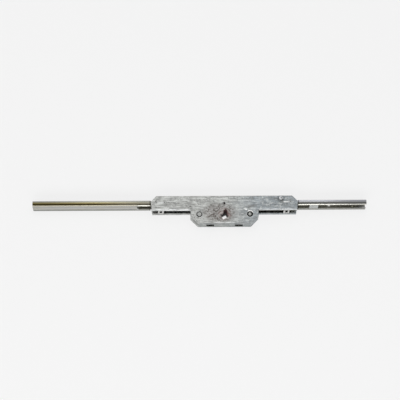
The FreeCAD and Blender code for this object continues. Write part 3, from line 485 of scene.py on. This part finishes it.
# the rolled edge's near-white colour: polished metal with a painted highlight
rubbed_highlight_steel = Finish("rubbed_strip_edge_highlight", metallic=0.75, roughness=0.3)
rub = rubbed_highlight_steel.noise(*RUB_GRAIN)
rubbed_highlight_steel.shades(rub, RUBBED_HIGHLIGHT_DULL, RUBBED_HIGHLIGHT_CLEAR, WIDE)
rubbed_highlight_steel.rough(rubbed_highlight_steel.band(rub, *WIDE, *RUBBED_ROUGHNESS))

for side, rail in RAILS.items():
    plated = Finish(f"plated_strip_{side}", metallic=0.75, roughness=0.35)
    drawn = plated.noise(*DRAWN_GRAIN)
    smears = plated.noise(*SMEAR_GRAIN)
    slope = plated.room(*GROOVE_SLOPE)
    plated.shades(drawn, RAIL_DULL, RAIL_CLEAR)
    plated.lay(rail["film"], plated.band(smears, *SMEARED))
    plated.lay(rail["front"], plated.within("Y", *SLANTED_FRONT))
    plated.lay(FRONT_PLAIN, plated.within("Y", *WEB))
    plated.lay(RAIL_CLOSURE, plated.room(*CLOSURE))
    # the lower lip darker near the floor: painted shade
    plated.lay(RAIL_LIP_SHADE, plated.within("Z", *LOWER_LIP))
    plated.lay(rail["film"], slope, plated.band(plated.along["X"], *rail["thins"], *FILM_SHARES))
    plated.lay(rail["line"], slope, plated.band(plated.along["X"], *FAR_GREASE))
    line_share = plated.band(plated.along["X"], *rail["thins"], *LINE_SHARES)
    plated.lay(rail["line"], plated.room(*GROOVE_LINE), line_share)
    plated.lay(RAIL_BEND, plated.room(*BEND))
    plated.lay(rail["crest_grease_and_highlight"], plated.room((rail["crest"], *CREST_ACROSS)))
    # a painted shadow line where the rail enters the case, in the groove's colour
    plated.lay(rail["line"], plated.within("X", *CASE_JOINT_SHADOW), JOINT_SHADOW_SHARE)
    plated.lay(TONGUE_GREY, plated.within("X", *TONGUES))
    plated.rough(plated.band(drawn, *WIDE, *RAIL_ROUGHNESS))
    plated.bump(drawn, DRAWN_DEPTH)
    round_off(merged_copy(f"guide_rail_{side}", "case"), RAIL_ROUNDING)
    plated.put_on(f"guide_rail_{side}_finished")

for side, rail in RAILS.items():
    rolled_edge(f"rolled_edge_{side}", *rail["rolled_edge"])
    rubbed_highlight_steel.put_on(f"rolled_edge_{side}")


# Drive rods: flat drawn steel, zinc plated, painted nearly black as the shade inside the rails,
# with the grease that they slide in. The low edge of the right rod is painted light as if lit, and
# the left rod's is painted dark as shade.

ROD_SHADE_DULL = (0.02, 0.019, 0.01)
ROD_SHADE_CLEAR = (0.055, 0.052, 0.027)
ROD_LOW_EDGE_LIGHT_AND_SHADE = {"left": (0.02, 0.018, 0.008), "right": (0.80, 0.80, 0.60)}
ROD_GRAIN = ((6, 700, 700), 3.0)
LOW_EDGE_PLACE = (1.0, 4.0, 0.5)
LOW_EDGE_BREAKS = (0.3, 0.6, 0.7, 1.0)
ROD_ROUNDING = 0.35 * MM

for side, low_edge_light_and_shade in ROD_LOW_EDGE_LIGHT_AND_SHADE.items():
    rod = Finish(f"drawn_flat_bar_{side}", metallic=0.75, roughness=0.35)
    lines = rod.noise(*ROD_GRAIN)
    rod.shades(lines, ROD_SHADE_DULL, ROD_SHADE_CLEAR)
    rod.lay(low_edge_light_and_shade, rod.within("Z", *LOW_EDGE_PLACE), rod.band(lines, *LOW_EDGE_BREAKS))
    round_off(merged_copy(f"drive_rod_{side}", "drive"), ROD_ROUNDING)
    rod.put_on(f"drive_rod_{side}_finished")


# Handle posts: turned steel, threaded inside for the handle's screws, peened over the cover, and
# painted black as shade where they stand in its bores. The right stud was struck harder, so its
# head is smaller, and a bright burr stands beside it, its bright colour partly a painted
# highlight.

POST_X = 21.5 * MM
CASE_TOP = 12 * MM
BORE_RADIUS = 2.1 * MM
THREAD_DEPTH = 0.13 * MM
THREAD_PITCH = 0.8 * MM
THREAD_TURNS = 11
THREAD_STEPS = 24
THREAD_START = 0.1 * MM
THREAD_SINK = 0.02 * MM
RIDGE_SHARE = 0.75
POST_ROUNDING = 0.1 * MM
POST_DULL = (0.22, 0.225, 0.22)
POST_CLEAR = (0.34, 0.345, 0.33)
STEEL_GRAIN = ((450, 450, 450), 3.0)
STEEL_ROUGHNESS = (0.3, 0.5)
STEEL_DEPTH = 0.02 * MM
STUD_GAP_SHADE = (9.5, 11.6)
STRUCK_FROM = 11.9 * MM
STRUCK_CENTRE = (POST_X, 0.3 * MM, CASE_TOP)
STRUCK_SHARE = 0.7

# The burr: a flattened ring, cut to a span on either side of its middle, and tapered at its ends
# by shrinking the sections at these angles in degrees. Its sections stand 7.5 degrees apart.
BURR_CENTRE = (POST_X, 0, CASE_TOP)
BURR_RADIUS = 2.95 * MM
BURR_HALF_WIDTH = 0.42 * MM
BURR_FLATTENING = 0.5
BURR_RING = 48
BURR_SECTION = 10
BURR_MIDDLE = math.radians(75)
BURR_HALF_SPAN = math.radians(55)
BURR_TAPERS = ((22.5, 0.25), (127.5, 0.25), (30, 0.7), (120, 0.7))
BURR_REACH = math.radians(3)
BURR_HIGHLIGHT_DULL = (0.72, 0.72, 0.71)
BURR_HIGHLIGHT_CLEAR = (0.9, 0.9, 0.88)


def open_edit(piece, mode, test):
    """Opens a piece for editing with only the vertices or faces that pass a test selected."""
    piece.select_set(True)
    bpy.context.view_layer.objects.active = piece
    bpy.ops.object.mode_set(mode="EDIT")
    bpy.context.tool_settings.mesh_select_mode = (mode == "vertices", False, mode == "polygons")
    bpy.ops.mesh.select_all(action="DESELECT")
    bpy.ops.object.mode_set(mode="OBJECT")
    for part in getattr(piece.data, mode):
        part.select = test(part)
    bpy.ops.object.mode_set(mode="EDIT")


def close_edit(piece):
    bpy.ops.object.mode_set(mode="OBJECT")
    piece.select_set(False)


def turned_steel(name, dull, clear):
    """Zinc-plated steel off the lathe, in a dull and a clear shade."""
    finish = Finish(name, metallic=0.7, roughness=0.38)
    marks = finish.noise(*STEEL_GRAIN)
    finish.shades(marks, dull, clear)
    finish.rough(finish.band(marks, *WIDE, *STEEL_ROUGHNESS))
    finish.bump(marks, STEEL_DEPTH)
    return finish


def thread(name, x):
    """The thread's ridge as a triangular coil, which stands inside a post's bore."""
    bpy.ops.mesh.primitive_circle_add(vertices=3, radius=THREAD_DEPTH)
    coil = bpy.context.object
    coil.name = name
    foot, ridge = BORE_RADIUS + THREAD_SINK, RIDGE_SHARE * THREAD_PITCH
    low, high, tip = coil.data.vertices
    low.co = (foot, 0, THREAD_START)
    high.co = (foot, 0, THREAD_START + ridge)
    tip.co = (BORE_RADIUS - THREAD_DEPTH, 0, THREAD_START + ridge / 2)
    screw = coil.modifiers.new("turns", "SCREW")
    screw.screw_offset = THREAD_PITCH
    screw.iterations = THREAD_TURNS
    screw.steps = THREAD_STEPS
    screw.render_steps = THREAD_STEPS
    screw.use_merge_vertices = False
    bpy.ops.object.modifier_apply(modifier="turns")
    open_edit(coil, "vertices", lambda vertex: True)
    bpy.ops.mesh.fill_holes(sides=3)
    bpy.ops.mesh.normals_make_consistent(inside=False)
    close_edit(coil)
    coil.location.x = x
    settle(coil)
    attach(coil, "case")


post_steel = turned_steel("turned_post_steel", POST_DULL, POST_CLEAR)
# black where the post stands in the cover's bore: painted shade in the gap
post_steel.lay(INSIDE_DARK, post_steel.within("Z", *STUD_GAP_SHADE))
for side, x in (("left", -POST_X), ("right", POST_X)):
    post = merged_copy(f"handle_post_{side}", "case")
    if side == "right":
        open_edit(post, "vertices", lambda vertex: vertex.co.z > STRUCK_FROM)
        bpy.ops.transform.resize(
            value=(STRUCK_SHARE, STRUCK_SHARE, 1), center_override=STRUCK_CENTRE)
        close_edit(post)
    round_off(post, POST_ROUNDING)
    thread(f"thread_{side}", x)
    post_steel.put_on(f"handle_post_{side}_finished", f"thread_{side}")


def burr_angle(place):
    return math.atan2(place.y, place.x - POST_X)


bpy.ops.mesh.primitive_torus_add(
    location=BURR_CENTRE, major_radius=BURR_RADIUS, minor_radius=BURR_HALF_WIDTH,
    major_segments=BURR_RING, minor_segments=BURR_SECTION,
)
burr = bpy.context.object
burr.name = "stud_burr"
settle(burr)
open_edit(burr, "polygons", lambda face: (
    math.cos(burr_angle(face.center) - BURR_MIDDLE) < math.cos(BURR_HALF_SPAN)))
bpy.ops.mesh.delete(type="FACE")
bpy.ops.mesh.select_all(action="SELECT")
bpy.ops.mesh.fill_holes(sides=BURR_SECTION)
bpy.ops.transform.resize(value=(1, 1, BURR_FLATTENING), center_override=BURR_CENTRE)
bpy.ops.mesh.normals_make_consistent(inside=False)
close_edit(burr)
for degrees, share in BURR_TAPERS:
    turn = math.radians(degrees)
    ring = Vector((BURR_RADIUS * math.cos(turn), BURR_RADIUS * math.sin(turn), 0))
    open_edit(burr, "vertices", lambda vertex: abs(burr_angle(vertex.co) - turn) < BURR_REACH)
    bpy.ops.transform.resize(
        value=(share, share, share), center_override=Vector(BURR_CENTRE) + ring)
    close_edit(burr)
burr.select_set(True)
bpy.ops.object.shade_smooth_by_angle(angle=SHARP_ANGLE)
burr.select_set(False)
# bright metal, partly a painted highlight, for the burr and the rod's rivet
bright_metal_and_highlight = turned_steel("raised_burr_highlight", BURR_HIGHLIGHT_DULL, BURR_HIGHLIGHT_CLEAR)
bright_metal_and_highlight.put_on("stud_burr")
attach(burr, "case")


# Rivets and screws: turned steel, zinc plated. The front rivet's head is peened, with shade
# painted in its dimple, and the rod's rivet is rubbed bright, partly a painted highlight. The
# cross screws are painted near black round their recesses.

FASTENER_DULL = (0.19, 0.21, 0.215)
FASTENER_CLEAR = (0.31, 0.33, 0.335)
PEENED_DULL = (0.40, 0.41, 0.42)
PEENED_CLEAR = (0.55, 0.56, 0.57)
SCREW_DULL = (0.45, 0.45, 0.44)
SCREW_CLEAR = (0.62, 0.62, 0.60)
SCREW_RECESS_DARK = (0.02, 0.02, 0.02)
RIVET_ROUNDING = 0.06 * MM
SCREW_ROUNDING = 0.05 * MM
DIMPLE = (((48.0, 49.2), (13.9, 14.9), (11.9, 12.4)), 0.4)
DIMPLE_SHARE = 0.6
RECESSES = {
    "face_screw": ((2.3, 5.3), (12.0, 16.35), (2.0, 5.0)),
    "rail_screw": ((-75.5, -72.5), (11.0, 12.4), (2.5, 5.5)),
}

fastener = turned_steel("plated_fastener_steel", FASTENER_DULL, FASTENER_CLEAR)
peened_head = turned_steel("peened_rivet_steel", PEENED_DULL, PEENED_CLEAR)
# painted shade in the peened head's dimple
peened_head.lay(RIVET_SHADOW, peened_head.room(*DIMPLE), DIMPLE_SHARE)
for node, body, steel in (
    ("rail_rivet", "case", fastener),
    ("coupling_rivet_left", "drive", fastener),
    ("coupling_rivet_right", "drive", fastener),
    ("front_rivet", "case", peened_head),
    ("rod_rivet", "drive", bright_metal_and_highlight),
):
    round_off(merged_copy(node, body), RIVET_ROUNDING)
    steel.put_on(f"{node}_finished")

cross_head = turned_steel("cross_screw_steel", SCREW_DULL, SCREW_CLEAR)
for screw, recess in RECESSES.items():
    # near black round each recess
    cross_head.lay(SCREW_RECESS_DARK, cross_head.room(recess))
    round_off(merged_copy(screw, "case"), SCREW_ROUNDING)
    cross_head.put_on(f"{screw}_finished")


# Back clips: bright zinc-plated spring strip, bent and hooked over the arms' back walls. The
# window in each clip reaches nearly to its upper edge, which leaves a thin bright bar.

CLIP_DULL = (0.46, 0.46, 0.44)
CLIP_CLEAR = (0.62, 0.62, 0.60)
CLIP_GRAIN = ((500, 80, 500), 2.0)
CLIP_MIDDLES = (-54.1, 52.9)
WINDOW_HALF_WIDTH = 1.3
WINDOW_ACROSS = ((3.5, 5.6), (5.0, 10.5))
WINDOW_TOP = 9.0 * MM
WINDOW_MATCH = 0.01 * MM
WINDOW_RAISE = 1.2 * MM
CLIP_ROUNDING = 0.08 * MM

clip = Finish("bright_strip", metallic=0.6, roughness=0.35)
streaks = clip.noise(*CLIP_GRAIN)
clip.shades(streaks, CLIP_DULL, CLIP_CLEAR)
# painted shade in and round each clip's window
for middle in CLIP_MIDDLES:
    window = (middle - WINDOW_HALF_WIDTH, middle + WINDOW_HALF_WIDTH)
    clip.lay(INSIDE_DARK, clip.room((window, *WINDOW_ACROSS)))
for side in ("left", "right"):
    strip = merged_copy(f"back_clip_{side}", "case")
    open_edit(strip, "vertices", lambda vertex: abs(vertex.co.z - WINDOW_TOP) < WINDOW_MATCH)
    bpy.ops.transform.translate(value=(0, 0, WINDOW_RAISE))
    close_edit(strip)
    round_off(strip, CLIP_ROUNDING)
    clip.put_on(f"back_clip_{side}_finished")


# Rod guide: a block of off-white nylon, injection moulded, slightly cloudy. It is pressed into the
# short rail's open back, closes it there and steadies the rod. It keeps the shape of its solid.

NYLON_DULL = (0.36, 0.37, 0.36)
NYLON_CLEAR = (0.44, 0.45, 0.44)
NYLON_GRAIN = ((300, 300, 300), 2.0)

nylon = Finish("moulded_nylon", metallic=0.0, roughness=0.45)
nylon.shades(nylon.noise(*NYLON_GRAIN), NYLON_DULL, NYLON_CLEAR)
nylon.put_on("rod_guide")


# Floor and backdrop: pale paper under the part and all round it. It shows nearly white to the
# camera and in the metal, and keeps the part's soft shadow. Under the spindle's hole a shadow is
# painted on it, but for a painted lit patch with two straight sides, where light falls through the
# square.

FLOOR_SIZE = 6.0
BACKDROP_RADIUS = 2.9
BACKDROP_HEIGHT = 1.6
BACKDROP_SIDES = 96
PAPER_GRAIN = ((40, 40, 40), 2.0)
PAPER_PALE = (0.86, 0.86, 0.86)
PAPER_GREY = (0.85, 0.85, 0.85)
PAPER_SHOWN = 0.92
SHADOW_SHARE = 0.15
HOLE_SHADOW_SHOWN = 0.03
HOLE_ROOM = ((-7, 7), (-7, 7), (-1, 1))
HOLE_TURN = math.radians(30)
LIT_PATCH_REACH = (2.25, 1.75)
LIT_PATCH_SOFT = 0.4

bpy.ops.mesh.primitive_plane_add(size=FLOOR_SIZE, location=(0, 0, 0))
floor = bpy.context.object
floor.name = "floor"
bpy.ops.mesh.primitive_cylinder_add(
    vertices=BACKDROP_SIDES, radius=BACKDROP_RADIUS, depth=BACKDROP_HEIGHT,
    end_fill_type="NOTHING", location=(0, 0, BACKDROP_HEIGHT / 2),
)
backdrop = bpy.context.object
backdrop.name = "backdrop"

paper = Finish("pale_paper", metallic=0.0, roughness=0.9)
paper.shader.inputs["Specular IOR Level"].default_value = 0.0
paper.colour(paper.mix(paper.noise(*PAPER_GRAIN), PAPER_PALE, PAPER_GREY))


def up_to_line(turn, reach):
    """1 up to a line across a direction, a reach in millimetres from the axis, and 0 past it."""
    sideways = paper.times(paper.along["X"], math.cos(turn))
    away = paper.reckon("ADD", sideways, paper.times(paper.along["Y"], math.sin(turn)))
    return paper.band(away, reach * MM, (reach + LIT_PATCH_SOFT) * MM, 1.0, 0.0)


lit_patch = paper.times(
    up_to_line(HOLE_TURN, LIT_PATCH_REACH[0]),
    up_to_line(HOLE_TURN + math.pi / 2, LIT_PATCH_REACH[1]),
)
painted_shadow = paper.times(paper.room(HOLE_ROOM), paper.reckon("SUBTRACT", 1.0, lit_patch))
glow = paper.tree.nodes.new("ShaderNodeEmission")
glow.inputs["Color"].default_value = (1, 1, 1, 1)
paper.link(paper.band(painted_shadow, 0.0, 1.0, PAPER_SHOWN, HOLE_SHADOW_SHOWN), glow.inputs["Strength"])
path = paper.tree.nodes.new("ShaderNodeLightPath")
seen = paper.reckon("MAXIMUM", path.outputs["Is Camera Ray"], path.outputs["Is Glossy Ray"])
seen = paper.reckon("MAXIMUM", seen, path.outputs["Is Transmission Ray"])
blend = paper.tree.nodes.new("ShaderNodeMixShader")
paper.link(paper.times(seen, 1.0 - SHADOW_SHARE), blend.inputs["Fac"])
paper.link(paper.shader.outputs["BSDF"], blend.inputs[1])
paper.link(glow.outputs["Emission"], blend.inputs[2])
paper.link(blend.outputs["Shader"], paper.tree.nodes["Material Output"].inputs["Surface"])
paper.put_on("floor", "backdrop")


# Studio: a wide soft lamp behind the part, a low strip in front of it, and a room that is
# bright behind the part and dark where the camera stands, so that the metal's slopes read.

ROOM_BRIGHT = 0.8
ROOM_DARK = 0.2
ROOM_SIDE = Vector((0, 0.94, 0.34))
ROOM_TURN = (-0.1, 0.55)

# Each lamp's place and size in metres, and its power in watts.
LAMPS = {
    "overhead_lamp": ((-0.05, 0.5, 1.3), (0.7, 0.9), 3.2),
    "front_lamp": ((-0.2, -1.1, 0.95), (1.4, 0.5), 13.0),
}

for name, (place, size, power) in LAMPS.items():
    bpy.ops.object.light_add(type="AREA", location=place)
    lamp = bpy.context.object
    lamp.name = name
    lamp.data.shape = "RECTANGLE"
    lamp.data.size, lamp.data.size_y = size
    lamp.data.energy = power
    lamp.rotation_euler = (-Vector(place)).to_track_quat("-Z", "Y").to_euler()

world = bpy.data.worlds.new("white_room")
world.use_nodes = True
sky = world.node_tree
background = sky.nodes["Background"]
background.inputs["Color"].default_value = (1, 1, 1, 1)
direction = sky.nodes.new("ShaderNodeTexCoord")
facing = sky.nodes.new("ShaderNodeVectorMath")
facing.operation = "DOT_PRODUCT"
facing.inputs[1].default_value = ROOM_SIDE
shade = sky.nodes.new("ShaderNodeMapRange")
shade.inputs["From Min"].default_value, shade.inputs["From Max"].default_value = ROOM_TURN
shade.inputs["To Min"].default_value = ROOM_DARK
shade.inputs["To Max"].default_value = ROOM_BRIGHT
sky.links.new(direction.outputs["Generated"], facing.inputs[0])
sky.links.new(facing.outputs["Value"], shade.inputs["Value"])
sky.links.new(shade.outputs["Result"], background.inputs["Strength"])
bpy.context.scene.world = world


# Camera: a long lens high above the cover, on the side of its back edge, as the photograph was
# taken. It is rolled a little, because the part lies slightly askew in the picture.

IMAGE_SIZE = 400
PIXEL = 0.851 * MM
DISTANCE = 1.1
AIM = Vector(metres(-20.8, 12.75, 12.0))
AZIMUTH = math.radians(-4.0)
ELEVATION = math.radians(70.0)
ROLL = math.radians(0.28)

back = Vector((
    math.sin(AZIMUTH) * math.cos(ELEVATION),
    -math.cos(AZIMUTH) * math.cos(ELEVATION),
    math.sin(ELEVATION),
))
level = Vector((1, 0, 0)) - back * back.x
level.normalize()
right = Matrix.Rotation(-ROLL, 3, back) @ level
up = back.cross(right)
place = AIM + back * DISTANCE
bpy.ops.object.camera_add()
camera = bpy.context.object
camera.matrix_world = Matrix((
    (right.x, up.x, back.x, place.x),
    (right.y, up.y, back.y, place.y),
    (right.z, up.z, back.z, place.z),
    (0, 0, 0, 1),
))
camera.data.lens = camera.data.sensor_width * DISTANCE / (IMAGE_SIZE * PIXEL)
bpy.context.scene.camera = camera
bpy.context.scene.view_settings.view_transform = "Standard"
